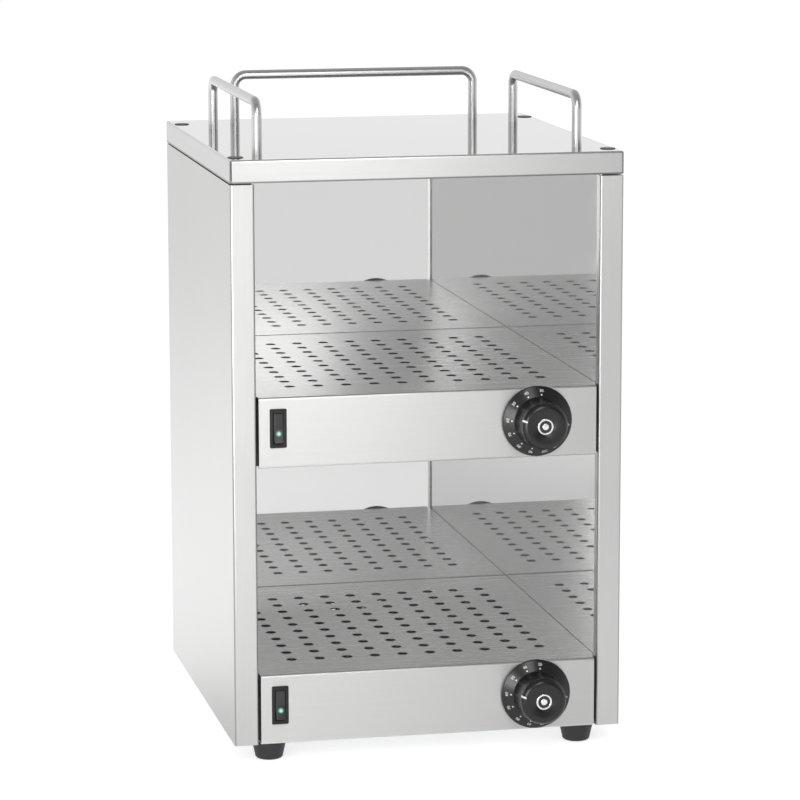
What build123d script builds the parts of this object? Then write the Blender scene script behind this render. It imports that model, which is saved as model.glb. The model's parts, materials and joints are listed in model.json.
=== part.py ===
"""Two-tier heated cup cabinet: a folded stainless housing with two open bays, each over
a heater box whose perforated shelf and control fascia are one bent sheet.

Millimetres. +X is to the right seen from the front, +Y runs to the back, +Z is up.
The origin lies on the supporting surface, under the centre of the overall box.
"""

import os
from math import cos, radians, sin

from build123d import *

os.makedirs("parts", exist_ok=True)

# Housing
cabinet_width = 320.0
cabinet_depth = 330.0
cabinet_height = 473.0
foot_height = 16.0
sheet = 1.0
liner_sheet = 0.8
inner_bend = 0.8
front_flange = 19.5
front_lip = 10.0
rear_flange = 15.0
flange_clearance = 0.7
fit_gap = 0.3

# Lift-off cover, flush with the housing below it
cover_gap = 1.2
cover_lip = 18.4
cover_corner_slit = 1.5

# Bays and their lining
rear_cavity = 15.0
lower_bay_height = 169.5
ceiling_fold = 10.0
liner_gap = 0.5

# Shelf and fascia, bent from one sheet
fascia_height = 57.0
fascia_gap = 2.0
fascia_return = 10.0
deck_inner_bend = 1.2
deck_side_lift = 17.0
deck_rear_fold = 18.0
hole_diameter = 8.0
hole_pitch_x = 23.2
hole_pitch_y = 23.9
hole_side_margin = 30.0
first_row_from_front = 48.5
last_row_margin = 40.0
deck_screw_lift = 15.0
deck_screw_inset = 62.0

# Floor tray of the upper heater box
tray_side_fold = 20.0
tray_rear_fold = 12.0

# Gallery rails on the cover
rail_rod = 8.0
rail_bar_height = 41.5
rail_bend = 10.0
rail_stud = 6.0
rail_stud_tail = 3.0
side_rail_inset = 28.7
side_rail_front_inset = 40.0
side_rail_rear_inset = 77.5
back_rail_side_inset = 54.6
back_rail_inset = 35.0
nut_across_flats = 10.0
nut_height = 5.0
stud_clearance = 0.2

# Rocker switches
switch_from_edge = 15.6
switch_rise = 3.6
bezel_side = 3.1
bezel_end = 3.85
bezel_proud = 1.8
bezel_corner = 1.2
bezel_taper = 20.0
switch_wall_side = 1.8
switch_wall_end = 2.0
switch_body_depth = 20.0
rocker_pocket_depth = 12.0
rocker_width = 7.6
rocker_swing_radius = 12.0
rocker_tilt = 8.0
rocker_end_reach = 3.0
rocker_valley_reach = 1.6
rocker_back_angle = 20.0
rocker_back_crown = 1.5
rocker_side_gap = 0.3
rocker_pin = 2.0
rocker_pin_length = 1.2
lens_diameter = 5.0
lens_drop = 4.3
lens_depth = 2.4
lens_proud = 0.5

# Thermostats and their knobs
knob_from_edge = 49.7
knob_rise = 1.6
knob_gap = 1.0
knob_height = 30.0
knob_boss = 8.0
knob_recess = 3.5
knob_recess_clearance = 1.0
knob_bore_wall = 10.0
skirt_width = 8.75
skirt_rim = 1.8
skirt_rise = 7.5
skirt_step = 0.8
grip_diameter = 40.0
grip_draft = 1.1
grip_edge = 2.6
dish_depth = 1.6
dish_border = 0.6
badge_diameter = 13.0
badge_thickness = 1.2
badge_groove = 0.4
shaft_diameter = 6.0
shaft_flat = 1.4
shaft_clearance = 0.05
shaft_hole_gap = 1.5
shaft_depth_in_body = 9.0
thermostat_block = 34.0
thermostat_depth = 24.0
thermostat_bracket = 1.5
bridge_height = 22.0
thermostat_screw_length = 7.0
thermostat_screw_spacing = 28.0

# Blade terminals of the switches and thermostats
tab_width = 6.3
tab_sheet = 0.8
tab_length = 7.0

# Heaters and wiring inside the boxes
element_diameter = 8.5
element_side_inset = 41.0
element_drop = 29.0
element_bend = 40.0
element_from_front = 60.0
element_from_rear = 25.0
bracket_from_front = 110.0
bracket_from_rear = 60.0
bracket_foot = 12.0
bracket_border = 4.0
bulb_diameter = 6.5
bulb_length = 80.0
bulb_from_knob = 53.8
bulb_drop = 17.0
bulb_ahead = 20.0
capillary = 2.0
capillary_bend = 12.0
capillary_lead = 20.0
block_length = 34.0
block_depth = 20.0
block_height = 16.0
block_x = 36.0
block_from_rear = 45.0
loom_diameter = 5.0
loom_bend = 7.0
loom_hole = 8.0

# Feet and fastenings
foot_side_inset = 31.2
foot_inset = 20.0
foot_top_diameter = 27.5
foot_bottom_diameter = 23.0
foot_round = 3.0
foot_stud = 6.0
screw_head = 7.0
screw_head_height = 2.2
screw_shank = 3.5
screw_clearance = 0.15
cap_diameter = 12.5
cap_height = 0.6
cover_screw_side = 8.0
cover_screw_front = 20.5
cover_screw_rear = 36.5
cover_screw_head = 6.5
cover_screw_tail = 2.5
cover_spacer = 10.0
rear_screw_inset = 45.0
base_screw_inset = 80.0
panel_screw_length = 6.0
deck_screw_length = 5.0

# Mains cable inlet, at the back
gland_side_inset = 50.0
gland_rise = 30.0
gland_reach = 14.0
gland_flats = 20.0
gland_hex = 4.5
gland_thread = 16.0
gland_inner_length = 10.0
gland_bore = 8.0
gland_nose = 13.0

# Planes that the pieces share, worked out from the sizes above
outer_bend = inner_bend + sheet
deck_bend = deck_inner_bend + sheet
round_mid = 1 - cos(radians(45))
knob_reach = knob_gap + knob_height
front = knob_reach - (cabinet_depth + knob_reach + gland_reach) / 2
rear = front + cabinet_depth
body_bottom = foot_height
cover_top = body_bottom + cabinet_height
cover_under = cover_top - sheet
half_width = cabinet_width / 2
flange_inner = half_width - front_flange
fascia_half = flange_inner - fascia_gap
liner_x = flange_inner + sheet
top_flange_x = liner_x + liner_sheet + flange_clearance
back_wall = rear - rear_cavity - liner_sheet
ceiling = cover_top - cover_lip
panel_top = ceiling - cover_gap
lip_end = front + front_lip + 2 * fit_gap
deck_half = liner_x - liner_gap
deck_rear = back_wall - liner_gap
lower_fascia_bottom = body_bottom
upper_fascia_bottom = lower_fascia_bottom + fascia_height + lower_bay_height
fascia_bottom_of = {"lower": lower_fascia_bottom, "upper": upper_fascia_bottom}
floor_of = {"lower": body_bottom + sheet, "upper": upper_fascia_bottom + 2 * sheet}
hole_columns = int((2 * (fascia_half - hole_side_margin)) // hole_pitch_x) + 1
hole_rows = int((deck_rear - front - first_row_from_front - last_row_margin) // hole_pitch_y) + 1
perforation_middle = front + first_row_from_front + hole_pitch_y * (hole_rows - 1) / 2
screw_hole = screw_shank / 2 + screw_clearance
switch_x = -fascia_half + switch_from_edge
rocker_half = rocker_width / 2
pocket_width = rocker_width + 2 * rocker_side_gap
pocket_height = 2 * (rocker_swing_radius + rocker_side_gap)
bezel_width = rocker_width + 2 * bezel_side
bezel_height = 2 * (rocker_swing_radius + bezel_end)
switch_body_width = pocket_width + 2 * switch_wall_side
switch_body_height = pocket_height + 2 * switch_wall_end
knob_x = fascia_half - knob_from_edge
gland_x = half_width - gland_side_inset
element_x = deck_half - element_side_inset
bulb_x = knob_x - bulb_from_knob

# Rows of fastenings, feet and rail legs
deck_screw_ys = (front + deck_screw_inset, deck_rear - deck_screw_inset)
deck_screw_points = {
    level: [(y, bottom + deck_side_lift + deck_screw_lift) for y in deck_screw_ys]
    for level, bottom in fascia_bottom_of.items()
}
rear_screw_x = half_width - (rear_flange + outer_bend) / 2
rear_screw_zs = (
    body_bottom + rear_screw_inset,
    (body_bottom + cover_top) / 2,
    cover_top - rear_screw_inset,
)
base_screw_x = (half_width + top_flange_x) / 2
base_screw_ys = (front + base_screw_inset, rear - base_screw_inset)
foot_x = half_width - foot_side_inset
foot_points = [(x, y) for y in (front + foot_inset, rear - foot_inset) for x in (-foot_x, foot_x)]
cover_screw_x = half_width - cover_screw_side
cover_screw_points = [
    (x, y)
    for y in (front + cover_screw_front, rear - cover_screw_rear)
    for x in (-cover_screw_x, cover_screw_x)
]
side_rail_x = half_width - side_rail_inset
side_rail_ys = (front + side_rail_front_inset, rear - side_rail_rear_inset)
back_rail_x = half_width - back_rail_side_inset
rail_legs = {
    "left_rail": [(-side_rail_x, y) for y in side_rail_ys],
    "right_rail": [(side_rail_x, y) for y in side_rail_ys],
    "back_rail": [(x, rear - back_rail_inset) for x in (-back_rail_x, back_rail_x)],
}
all_rail_legs = [leg for legs in rail_legs.values() for leg in legs]


def save(piece, node_name):
    """Labels a finished piece and writes its file."""
    piece.part.label = node_name
    export_step(piece.part, f"parts/{node_name}.step")


def facing_front(y):
    """Plane at depth y whose normal points to the front, with x to the right and y up."""
    return Plane(origin=(0, y, 0), x_dir=(1, 0, 0), z_dir=(0, -1, 0))


def facing_rear(y):
    """Plane at depth y whose normal points to the back; its x runs to the left."""
    return Plane(origin=(0, y, 0), x_dir=(-1, 0, 0), z_dir=(0, 1, 0))


def folded(plane, outline, thickness, radius, metal_side):
    """Section of a folded sheet: the outline is its outer surface, with rounded bends."""
    with BuildSketch(plane, mode=Mode.PRIVATE) as section:
        with BuildLine():
            FilletPolyline(*outline, radius=radius)
            offset(amount=thickness, side=metal_side)
        make_face()
    return section.sketch


def block(low, high, mode=Mode.ADD):
    """Rectangular solid between two opposite corners, in the piece being built."""
    with BuildSketch(Plane.XY.offset(low[2]), mode=Mode.PRIVATE) as base:
        with Locations(((low[0] + high[0]) / 2, (low[1] + high[1]) / 2)):
            Rectangle(high[0] - low[0], high[1] - low[1])
    extrude(base.sketch, amount=high[2] - low[2], mode=mode)


def rod(seat, points, radius, length, mode=Mode.ADD):
    """Round rods or holes of one radius that run from a plane along its normal."""
    with BuildSketch(seat, mode=Mode.PRIVATE) as ends:
        with Locations(*points):
            Circle(radius)
    extrude(ends.sketch, amount=length, mode=mode)


def pan_screws(seat, points, length, head_height=screw_head_height):
    """Pan-head screws whose heads stand on a plane and whose shanks go in behind it."""
    rod(seat, points, screw_head / 2, head_height)
    rod(seat, points, screw_shank / 2, -length)


def countersunk(seat, points, clearance, length, mode=Mode.ADD):
    """Countersunk screws, or their holes, whose heads lie flush with a plane."""
    with BuildSketch(seat, mode=Mode.PRIVATE) as heads:
        with Locations(*points):
            Circle(cover_screw_head / 2 + clearance)
    extrude(heads.sketch, amount=-(cover_screw_head - screw_shank) / 2, taper=45, mode=mode)
    rod(seat, points, screw_shank / 2 + clearance, -length, mode)


def hex_nuts(seat, points, thread_diameter, across_flats, height):
    """Hexagon nuts standing on a plane, bored to clear their thread."""
    with BuildSketch(seat, mode=Mode.PRIVATE) as nuts:
        with Locations(*points):
            RegularPolygon(across_flats / 2, 6, major_radius=False)
            Circle(thread_diameter / 2 + stud_clearance, mode=Mode.SUBTRACT)
    extrude(nuts.sketch, amount=height)


# Side panels: one sheet each, folded in plan into the side, a front flange with its
# return lip, and a rear flange set in by the rear panel's thickness
with BuildPart() as right_side_panel:
    plan = folded(
        Plane.XY.offset(body_bottom),
        [
            (flange_inner, front + front_lip),
            (flange_inner, front),
            (half_width, front),
            (half_width, rear - sheet),
            (half_width - rear_flange, rear - sheet),
        ],
        sheet,
        outer_bend,
        Side.LEFT,
    )
    extrude(plan, amount=panel_top - body_bottom)
    flange_back = rear - 1.5 * sheet
    block(
        (top_flange_x, front + sheet / 2, panel_top - sheet),
        (half_width - sheet / 2, flange_back, panel_top),
    )
    block(
        (top_flange_x, front + outer_bend, body_bottom + sheet),
        (half_width - sheet / 2, flange_back, body_bottom + 2 * sheet),
    )
    rod(
        Plane.XY.offset(panel_top),
        [point for point in cover_screw_points if point[0] > 0],
        screw_hole,
        -2 * sheet,
        Mode.SUBTRACT,
    )
    rod(
        Plane.XY.offset(body_bottom),
        [(base_screw_x, y) for y in base_screw_ys],
        screw_hole,
        3 * sheet,
        Mode.SUBTRACT,
    )
    rod(
        facing_rear(rear),
        [(-rear_screw_x, z) for z in rear_screw_zs],
        screw_hole,
        -3 * sheet,
        Mode.SUBTRACT,
    )
save(right_side_panel, "right_side_panel")

with BuildPart() as left_side_panel:
    mirror(right_side_panel.part, about=Plane.YZ)
save(left_side_panel, "left_side_panel")

# Rear panel: a flat sheet screwed to the side panels' rear flanges, with two rows of
# vent slots at the heater boxes and the hole of the cable inlet
vent_slots = 7
vent_pitch = 14.0
vent_width = 3.2
vent_length = 22.0
with BuildPart() as rear_panel:
    with BuildSketch(facing_rear(rear)):
        with Locations((0, (body_bottom + panel_top) / 2)):
            Rectangle(2 * (half_width - outer_bend), panel_top - body_bottom - 2 * fit_gap)
        for level_bottom in fascia_bottom_of.values():
            with Locations((0, level_bottom + fascia_height / 2)):
                with GridLocations(vent_pitch, 1, vent_slots, 1):
                    Rectangle(vent_width, vent_length, mode=Mode.SUBTRACT)
        with Locations((-gland_x, body_bottom + gland_rise)):
            Circle(gland_thread / 2 + stud_clearance, mode=Mode.SUBTRACT)
        with Locations(*[(s * rear_screw_x, z) for s in (-1, 1) for z in rear_screw_zs]):
            Circle(screw_hole, mode=Mode.SUBTRACT)
    extrude(amount=-sheet)
save(rear_panel, "rear_panel")

with BuildPart() as rear_screws:
    points = [(s * rear_screw_x, z) for s in (-1, 1) for z in rear_screw_zs]
    pan_screws(facing_rear(rear), points, panel_screw_length)
save(rear_screws, "rear_screws")

# Base plate: closes the lower heater box and carries the feet
with BuildPart() as base_plate:
    with BuildSketch(Plane.XY.offset(body_bottom)):
        base_front = front + fascia_return + fit_gap
        base_rear = rear - 2 * sheet - fit_gap
        with Locations((0, (base_front + base_rear) / 2)):
            Rectangle(2 * (half_width - sheet - fit_gap), base_rear - base_front)
        with Locations(*foot_points):
            Circle(foot_stud / 2 + stud_clearance, mode=Mode.SUBTRACT)
        with Locations(*[(s * base_screw_x, y) for s in (-1, 1) for y in base_screw_ys]):
            Circle(screw_hole, mode=Mode.SUBTRACT)
    extrude(amount=sheet)
save(base_plate, "base_plate")

with BuildPart() as base_screws:
    under_base = Plane(origin=(0, 0, body_bottom), x_dir=(1, 0, 0), z_dir=(0, 0, -1))
    points = [(s * base_screw_x, -y) for s in (-1, 1) for y in base_screw_ys]
    pan_screws(under_base, points, panel_screw_length)
save(base_screws, "base_screws")

# Cover: a lid folded down on all four sides, its corners left open as narrow slits; it
# stands on spacers, so that a narrow gap runs round under its lip
cover_middle = (front + rear) / 2
cover_seat = Plane.XY.offset(cover_top)
with BuildPart() as top_cover:
    with BuildSketch(Plane.XY.offset(ceiling)):
        with Locations((0, cover_middle)):
            Rectangle(cabinet_width, cabinet_depth)
    extrude(amount=cover_lip)
    fillet(top_cover.edges().group_by(Axis.Z)[-1], outer_bend)
    with BuildSketch(Plane.XY.offset(ceiling)):
        with Locations((0, cover_middle)):
            Rectangle(cabinet_width - 2 * sheet, cabinet_depth - 2 * sheet)
    extrude(amount=cover_lip - sheet, mode=Mode.SUBTRACT)
    with BuildSketch(Plane.XY.offset(ceiling)):
        with Locations((0, cover_middle)):
            with GridLocations(cabinet_width, cabinet_depth, 2, 2):
                Rectangle(2 * cover_corner_slit, 2 * cover_corner_slit)
    extrude(amount=cover_lip, mode=Mode.SUBTRACT)
    rod(
        Plane.XY.offset(cover_top),
        all_rail_legs,
        rail_stud / 2 + stud_clearance,
        -2 * sheet,
        Mode.SUBTRACT,
    )
    countersunk(cover_seat, cover_screw_points, screw_clearance, 2 * sheet, Mode.SUBTRACT)
save(top_cover, "top_cover")

# Spacers: tubes on the side panels' top flanges that carry the cover
with BuildPart() as cover_spacers:
    rod(Plane.XY.offset(panel_top), cover_screw_points, cover_spacer / 2, cover_under - panel_top)
    screw_span = cover_top - panel_top + sheet
    countersunk(cover_seat, cover_screw_points, screw_clearance, screw_span, Mode.SUBTRACT)
save(cover_spacers, "cover_spacers")

with BuildPart() as cover_screws:
    countersunk(cover_seat, cover_screw_points, 0.0, screw_span + cover_screw_tail)
save(cover_screws, "cover_screws")

# Caps: thin discs with a rounded edge, stuck over the countersunk heads
with BuildPart() as screw_caps:
    rod(cover_seat, cover_screw_points, cap_diameter / 2, cap_height)
    fillet(screw_caps.edges().group_by(Axis.Z)[-1], cap_height * 0.6)
save(screw_caps, "screw_caps")

# Gallery rails: bent rods whose shouldered ends pass through the cover to nuts below
for rail_name, legs in rail_legs.items():
    with BuildPart() as rail:
        start, end = (Vector(*leg, cover_top) for leg in legs)
        lift = Vector(0, 0, rail_bar_height)
        with BuildLine() as route:
            FilletPolyline(start, start + lift, end + lift, end, radius=rail_bend)
        with BuildSketch(Plane(origin=start, z_dir=(0, 0, 1))):
            Circle(rail_rod / 2)
        sweep(path=route.line)
        stud_length = sheet + nut_height + rail_stud_tail
        rod(Plane.XY.offset(cover_top), legs, rail_stud / 2, -stud_length)
    save(rail, rail_name)

with BuildPart() as rail_nuts:
    under_cover = Plane.XY.offset(cover_under - nut_height)
    hex_nuts(under_cover, all_rail_legs, rail_stud, nut_across_flats, nut_height)
save(rail_nuts, "rail_nuts")

# Ceiling: a polished pan with its edges folded up, between the linings of the upper bay
with BuildPart() as ceiling_panel:
    ceiling_rear = back_wall
    ceiling_front = front + sheet + fit_gap
    for shrink, mode in ((0.0, Mode.ADD), (liner_sheet, Mode.SUBTRACT)):
        with BuildSketch(Plane.XY.offset(ceiling + shrink)):
            with Locations((0, (ceiling_front + ceiling_rear) / 2)):
                Rectangle(2 * (liner_x - shrink), ceiling_rear - ceiling_front - 2 * shrink)
        extrude(amount=ceiling_fold - shrink, mode=mode)
save(ceiling_panel, "ceiling_panel")

# Mirror-polished lining: two side walls and a back wall behind both bays
with BuildPart() as right_liner:
    block(
        (liner_x, front + outer_bend + fit_gap, body_bottom + sheet),
        (liner_x + liner_sheet, back_wall, ceiling + ceiling_fold),
    )
    for points in deck_screw_points.values():
        rod(Plane.YZ.offset(liner_x), points, screw_hole, liner_sheet, Mode.SUBTRACT)
save(right_liner, "right_liner")

with BuildPart() as left_liner:
    mirror(right_liner.part, about=Plane.YZ)
save(left_liner, "left_liner")

loom_x = block_x
loom_rise_y = rear - sheet - (rear_cavity - sheet) / 2
loom_entry = floor_of["upper"] + block_height + loom_bend
with BuildPart() as back_liner:
    block(
        (-liner_x - liner_sheet, back_wall, body_bottom + fascia_height - deck_rear_fold),
        (liner_x + liner_sheet, back_wall + liner_sheet, ceiling + ceiling_fold),
    )
    rod(facing_rear(back_wall), [(-loom_x, loom_entry)], loom_hole / 2, liner_sheet, Mode.SUBTRACT)
save(back_liner, "back_liner")

# Decks: the shelf and its fascia are one sheet, bent down at the front, with the edges
# of the shelf folded down into the heater box and a grid of round warm-air holes
for level, fascia_bottom in fascia_bottom_of.items():
    deck_top = fascia_bottom + fascia_height
    knob_z = fascia_bottom + fascia_height / 2 + knob_rise
    switch_z = fascia_bottom + fascia_height / 2 + switch_rise
    with BuildPart() as deck:
        section = folded(
            Plane.YZ,
            [
                (front + fascia_return, fascia_bottom),
                (front, fascia_bottom),
                (front, deck_top),
                (deck_rear, deck_top),
                (deck_rear, deck_top - deck_rear_fold),
            ],
            sheet,
            deck_bend,
            Side.RIGHT,
        )
        extrude(section, amount=deck_half, both=True)
        for side in (-1, 1):
            inner, outer = sorted((side * (deck_half - sheet), side * deck_half))
            block(
                (inner, lip_end, fascia_bottom + deck_side_lift),
                (outer, deck_rear - deck_bend, deck_top - sheet / 2),
            )
            low, high = sorted((side * fascia_half, side * (deck_half + sheet)))
            block(
                (low, front - sheet, fascia_bottom - sheet),
                (high, lip_end, deck_top + sheet),
                Mode.SUBTRACT,
            )
        with BuildSketch(Plane.XY.offset(deck_top)):
            with Locations((0, perforation_middle)):
                with GridLocations(hole_pitch_x, hole_pitch_y, hole_columns, hole_rows):
                    Circle(hole_diameter / 2)
        extrude(amount=-2 * sheet, mode=Mode.SUBTRACT)
        with BuildSketch(facing_front(front)):
            with Locations((switch_x, switch_z)):
                Rectangle(switch_body_width + fit_gap, switch_body_height + fit_gap)
            with Locations((knob_x, knob_z)):
                Circle(shaft_diameter / 2 + shaft_hole_gap)
                with GridLocations(thermostat_screw_spacing, 1, 2, 1):
                    Circle(screw_hole)
        extrude(amount=-2 * sheet, mode=Mode.SUBTRACT)
        for side in (-1, 1):
            side_plane = Plane.YZ.offset(side * deck_half)
            rod(side_plane, deck_screw_points[level], screw_hole, -side * 2 * sheet, Mode.SUBTRACT)
    save(deck, f"{level}_deck")

with BuildPart() as deck_screws:
    for side in (-1, 1):
        outside = Plane(
            origin=(side * (liner_x + liner_sheet), 0, 0), x_dir=(0, side, 0), z_dir=(side, 0, 0)
        )
        points = [(side * y, z) for level in deck_screw_points.values() for y, z in level]
        pan_screws(outside, points, deck_screw_length)
save(deck_screws, "deck_screws")

# Tray: the floor of the upper heater box and the ceiling of the lower bay
with BuildPart() as upper_heater_tray:
    tray_bottom = upper_fascia_bottom + sheet
    tray_half = deck_half - sheet
    tray_front = front + deck_bend + fit_gap
    tray_rear = deck_rear - sheet - fit_gap
    block((-tray_half, tray_front, tray_bottom), (tray_half, tray_rear, tray_bottom + sheet))
    for side in (-1, 1):
        low, high = sorted((side * (tray_half - sheet), side * tray_half))
        block(
            (low, lip_end, tray_bottom + sheet / 2),
            (high, tray_rear, tray_bottom + tray_side_fold),
        )
    block(
        (-tray_half, tray_rear - sheet, tray_bottom + sheet / 2),
        (tray_half, tray_rear, tray_bottom + tray_rear_fold),
    )
save(upper_heater_tray, "upper_heater_tray")

# Controls and heaters, the same in both boxes
for level, fascia_bottom in fascia_bottom_of.items():
    box_floor = floor_of[level]
    deck_top = fascia_bottom + fascia_height
    knob_z = fascia_bottom + fascia_height / 2 + knob_rise
    switch_z = fascia_bottom + fascia_height / 2 + switch_rise

    # Switch housing: a moulded bezel in front of the fascia and a snap-in body behind
    with BuildPart() as switch_housing:
        with BuildSketch(facing_front(front)) as bezel_outline:
            with Locations((switch_x, switch_z)):
                RectangleRounded(bezel_width, bezel_height, bezel_corner)
        extrude(amount=bezel_proud, taper=bezel_taper)
        with BuildSketch(facing_front(front)):
            with Locations((switch_x, switch_z)):
                Rectangle(switch_body_width, switch_body_height)
        extrude(amount=-switch_body_depth)
        with BuildSketch(facing_front(front - bezel_proud)):
            with Locations((switch_x, switch_z)):
                Rectangle(pocket_width, pocket_height)
        extrude(amount=-(bezel_proud + rocker_pocket_depth), mode=Mode.SUBTRACT)
        with BuildSketch(Plane(origin=(switch_x, front, switch_z), x_dir=(0, 1, 0), z_dir=(1, 0, 0))):
            Circle(rocker_pin / 2 + shaft_clearance)
        pin_reach = rocker_half + rocker_pin_length + rocker_side_gap
        extrude(amount=pin_reach, both=True, mode=Mode.SUBTRACT)
        for tab_z in (-8.0, 0.0, 8.0):
            tab_y = front + switch_body_depth
            block(
                (switch_x - tab_width / 2, tab_y, switch_z + tab_z - tab_sheet / 2),
                (switch_x + tab_width / 2, tab_y + tab_length, switch_z + tab_z + tab_sheet / 2),
            )
    save(switch_housing, f"{level}_switch_housing")

    # Rocker: a shallow vee seen from the side, pivoted on two short pins, with ends
    # rounded about the pivot; it rests with its upper half pressed in
    tilt = -radians(rocker_tilt)
    rocker_plane = Plane(
        origin=(switch_x, front, switch_z), x_dir=(0, cos(tilt), sin(tilt)), z_dir=(1, 0, 0)
    )
    end_z = (rocker_swing_radius**2 - rocker_end_reach**2) ** 0.5
    back_reach = rocker_swing_radius * sin(radians(rocker_back_angle))
    back_z = rocker_swing_radius * cos(radians(rocker_back_angle))
    lens_z = -lens_drop
    valley_slope = (rocker_end_reach - rocker_valley_reach) / end_z
    lens_face = rocker_valley_reach + valley_slope * lens_drop
    lens_plane = Plane(
        origin=rocker_plane.from_local_coords((-lens_face, lens_z, 0)),
        x_dir=(1, 0, 0),
        z_dir=rocker_plane.x_dir * -1,
    )
    with BuildPart() as rocker:
        with BuildSketch(rocker_plane):
            with BuildLine():
                Polyline((-rocker_end_reach, end_z), (-rocker_valley_reach, 0), (-rocker_end_reach, -end_z))
                ThreePointArc(
                    (-rocker_end_reach, -end_z), (0, -rocker_swing_radius), (back_reach, -back_z)
                )
                crown = back_reach + rocker_back_crown
                Polyline((back_reach, -back_z), (crown, 0), (back_reach, back_z))
                ThreePointArc((back_reach, back_z), (0, rocker_swing_radius), (-rocker_end_reach, end_z))
            make_face()
        extrude(amount=rocker_half, both=True)
        with BuildSketch(rocker_plane):
            Circle(rocker_pin / 2)
        extrude(amount=rocker_half + rocker_pin_length, both=True)
        lens_hole = lens_diameter / 2 + shaft_clearance
        rod(lens_plane, [(0, 0)], lens_hole, -lens_depth, Mode.SUBTRACT)
        rod(lens_plane, [(0, 0)], lens_hole, rocker_end_reach, Mode.SUBTRACT)
    save(rocker, f"{level}_rocker")

    with BuildPart() as rocker_lens:
        rod(lens_plane, [(0, 0)], lens_diameter / 2, -lens_depth)
        rod(lens_plane, [(0, 0)], lens_diameter / 2, lens_proud)
        fillet(rocker_lens.edges().group_by(Axis.Y)[0], lens_proud * 0.6)
    save(rocker_lens, f"{level}_rocker_lens")

    # Thermostat: a moulded block on a steel bridge behind the fascia
    with BuildPart() as thermostat:
        bridge_face = front + sheet
        with BuildSketch(facing_front(bridge_face)):
            with Locations((knob_x, knob_z)):
                Rectangle(thermostat_screw_spacing + screw_head + 3.0, bridge_height)
        extrude(amount=-thermostat_bracket)
        with BuildSketch(facing_front(bridge_face + thermostat_bracket)):
            with Locations((knob_x, knob_z)):
                RectangleRounded(thermostat_block, thermostat_block, 4.0)
        extrude(amount=-thermostat_depth)
        axis_point = [(knob_x, knob_z)]
        rod(
            facing_front(bridge_face),
            axis_point,
            shaft_diameter / 2 + shaft_clearance,
            -shaft_depth_in_body - shaft_clearance,
            Mode.SUBTRACT,
        )
        half_spacing = thermostat_screw_spacing / 2
        screw_points = [(knob_x - half_spacing, knob_z), (knob_x + half_spacing, knob_z)]
        rod(facing_front(front), screw_points, screw_hole, -thermostat_screw_length - 1, Mode.SUBTRACT)
        tab_y = bridge_face + thermostat_bracket + thermostat_depth
        for tab_x in (knob_x - 9.0, knob_x + 9.0):
            block(
                (tab_x - tab_sheet / 2, tab_y, knob_z - 11.0),
                (tab_x + tab_sheet / 2, tab_y + tab_length, knob_z - 11.0 + tab_width),
            )
    save(thermostat, f"{level}_thermostat")

    with BuildPart() as thermostat_screws:
        pan_screws(facing_front(front), screw_points, thermostat_screw_length)
    save(thermostat_screws, f"{level}_thermostat_screws")

    # Shaft: round, with a flat towards its outer end that drives the knob
    shaft_inner = bridge_face + shaft_depth_in_body
    shaft_in_knob = knob_height - knob_bore_wall
    shaft_outer = front - knob_gap - shaft_in_knob
    with BuildPart() as shaft:
        rod(facing_front(shaft_inner), axis_point, shaft_diameter / 2, shaft_inner - shaft_outer)
        flat_z = knob_z + shaft_diameter / 2 - shaft_flat
        block(
            (knob_x - shaft_diameter, shaft_outer - 1.0, flat_z),
            (knob_x + shaft_diameter, front - knob_gap, flat_z + shaft_diameter),
            Mode.SUBTRACT,
        )
    save(shaft, f"{level}_thermostat_shaft")

    # Knob: a conical skirt for the dial marks and a round grip with a dished face
    knob_plane = Plane(origin=(knob_x, front, knob_z))
    knob_axis = Axis((knob_x, front, knob_z), (0, 1, 0))
    grip_radius = grip_diameter / 2
    skirt_radius = grip_radius + skirt_width
    face_radius = grip_radius - grip_draft
    recess_radius = half_spacing + screw_head / 2 + knob_recess_clearance
    badge_seat = knob_reach - dish_depth
    badge_radius = badge_diameter / 2
    with BuildPart() as knob:
        with BuildSketch(knob_plane):
            with BuildLine():
                Polyline(
                    (badge_radius, -badge_seat),
                    (badge_radius, -badge_seat + badge_thickness),
                    (0, -badge_seat + badge_thickness),
                    (0, -knob_gap),
                    (knob_boss, -knob_gap),
                    (knob_boss, -knob_gap - knob_recess),
                    (recess_radius, -knob_gap - knob_recess),
                    (recess_radius, -knob_gap),
                    (skirt_radius, -knob_gap),
                    (skirt_radius, -knob_gap - skirt_rim),
                    (grip_radius + skirt_step, -skirt_rise),
                    (grip_radius, -skirt_rise - skirt_step),
                    (face_radius, -knob_reach + grip_edge),
                )
                ThreePointArc(
                    (face_radius, -knob_reach + grip_edge),
                    (face_radius - grip_edge * round_mid, -knob_reach + grip_edge * round_mid),
                    (face_radius - grip_edge, -knob_reach),
                )
                dish_edge = face_radius - grip_edge - dish_border
                Polyline((face_radius - grip_edge, -knob_reach), (dish_edge, -knob_reach))
                ThreePointArc(
                    (dish_edge, -knob_reach),
                    ((dish_edge + badge_radius) / 2, -knob_reach + dish_depth * 0.72),
                    (badge_radius, -badge_seat),
                )
            make_face()
        revolve(axis=knob_axis)
        with BuildSketch(facing_front(front - knob_gap)):
            with Locations((knob_x, knob_z)):
                Circle(shaft_diameter / 2 + shaft_clearance)
            with Locations((knob_x, flat_z + shaft_clearance + shaft_diameter / 2)):
                Rectangle(2 * shaft_diameter, shaft_diameter, mode=Mode.SUBTRACT)
        extrude(amount=shaft_in_knob + shaft_clearance, mode=Mode.SUBTRACT)
    save(knob, f"{level}_knob")

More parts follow.
